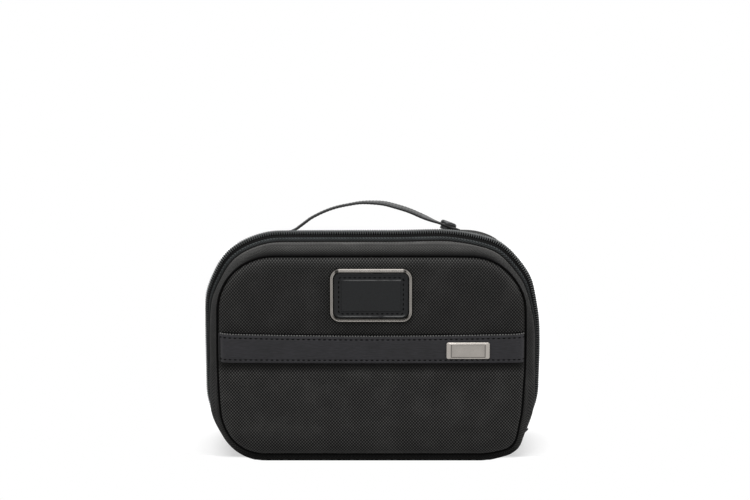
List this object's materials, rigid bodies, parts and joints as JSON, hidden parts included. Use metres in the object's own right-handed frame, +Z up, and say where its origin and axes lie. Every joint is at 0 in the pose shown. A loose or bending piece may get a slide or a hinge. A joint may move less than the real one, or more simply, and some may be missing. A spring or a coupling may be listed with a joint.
{
  "type": "toiletry bag",
  "caption": "Split toiletry bag: two zipped fabric halves that open on a bottom fold, front slip pocket, framed leather patch, bare plate and snap-off carry strap.",
  "frame": {"origin": "on the resting face, under the middle of the zip and the bag's middle width", "axes": "+X along the bag to its right as seen from the front, +Y from the front face to the back, +Z up"},
  "size_m": [0.26, 0.1063, 0.1942],
  "materials": {
    "woven_fabric": "black ballistic weave, matt",
    "piping_fabric": "black cord piping, matt",
    "lining_fabric": "dark grey smooth lining",
    "binding_tape": "black grosgrain tape",
    "net_fabric": "black net",
    "foam": "closed cell foam sheet",
    "zip_tape": "charcoal zip tape",
    "zip_coil": "charcoal nylon coil",
    "leather": "black smooth leather, stitched",
    "band_leather": "black fine grained leather",
    "brushed_metal": "brushed nickel, satin",
    "dark_metal": "gunmetal, glossy"
  },
  "bodies": {
    "back_half": {"back_gusset": "woven_fabric", "back_lining_gusset": "lining_fabric", "back_seam_binding": "binding_tape", "back_zip_tape": "zip_tape", "back_zip_coil": "zip_coil", "back_zip_stops": "dark_metal", "back_bottom_strip": "woven_fabric", "back_piping": "piping_fabric", "back_lining_panel": "lining_fabric", "back_panel": "woven_fabric", "back_foam": "foam", "slip_pocket": "lining_fabric", "slip_pocket_hem": "binding_tape", "handle_root": "leather", "snap_tab": "leather", "snap_stud": "dark_metal", "snap_eyelet": "dark_metal"},
    "front_half": {"front_gusset": "woven_fabric", "front_lining_gusset": "lining_fabric", "front_seam_binding": "binding_tape", "front_zip_tape": "zip_tape", "front_zip_coil": "zip_coil", "front_zip_stops": "dark_metal", "front_bottom_strip": "woven_fabric", "front_piping": "piping_fabric", "front_lining_panel": "lining_fabric", "front_panel": "woven_fabric", "front_foam": "foam", "front_pocket_panel": "woven_fabric", "front_band": "band_leather", "id_frame": "brushed_metal", "id_patch": "leather", "frame_backplate": "brushed_metal", "name_plate": "brushed_metal", "net_pocket": "net_fabric", "net_pocket_hem": "binding_tape"},
    "handle": {"handle_strap": "leather", "snap_cap": "dark_metal", "snap_socket": "dark_metal"},
    "slider": {"zip_slider": "dark_metal"},
    "pull": {"zip_pull": "dark_metal"}
  },
  "joints": [
    {"name": "lid_fold", "type": "hinge", "parent": "back_half", "child": "front_half", "pos_m": [0, 0, 0], "axis": [1, 0, 0], "range_deg": [0, 175]},
    {"name": "handle_swing", "type": "hinge", "parent": "back_half", "child": "handle", "pos_m": [-0.06502, 0.01909, 0.16964], "axis": [0, -0.9923, 0.1237], "range_deg": [0, 100]},
    {"name": "slider_run", "type": "hinge", "parent": "back_half", "child": "slider", "pos_m": [0.0781, 0, 0.049], "axis": [0, -1, 0], "range_deg": [0, 36]},
    {"name": "pull_flip", "type": "hinge", "parent": "slider", "child": "pull", "pos_m": [0.11789, 0, 0.00983], "axis": [0, -1, 0], "range_deg": [0, 140]}
  ]
}
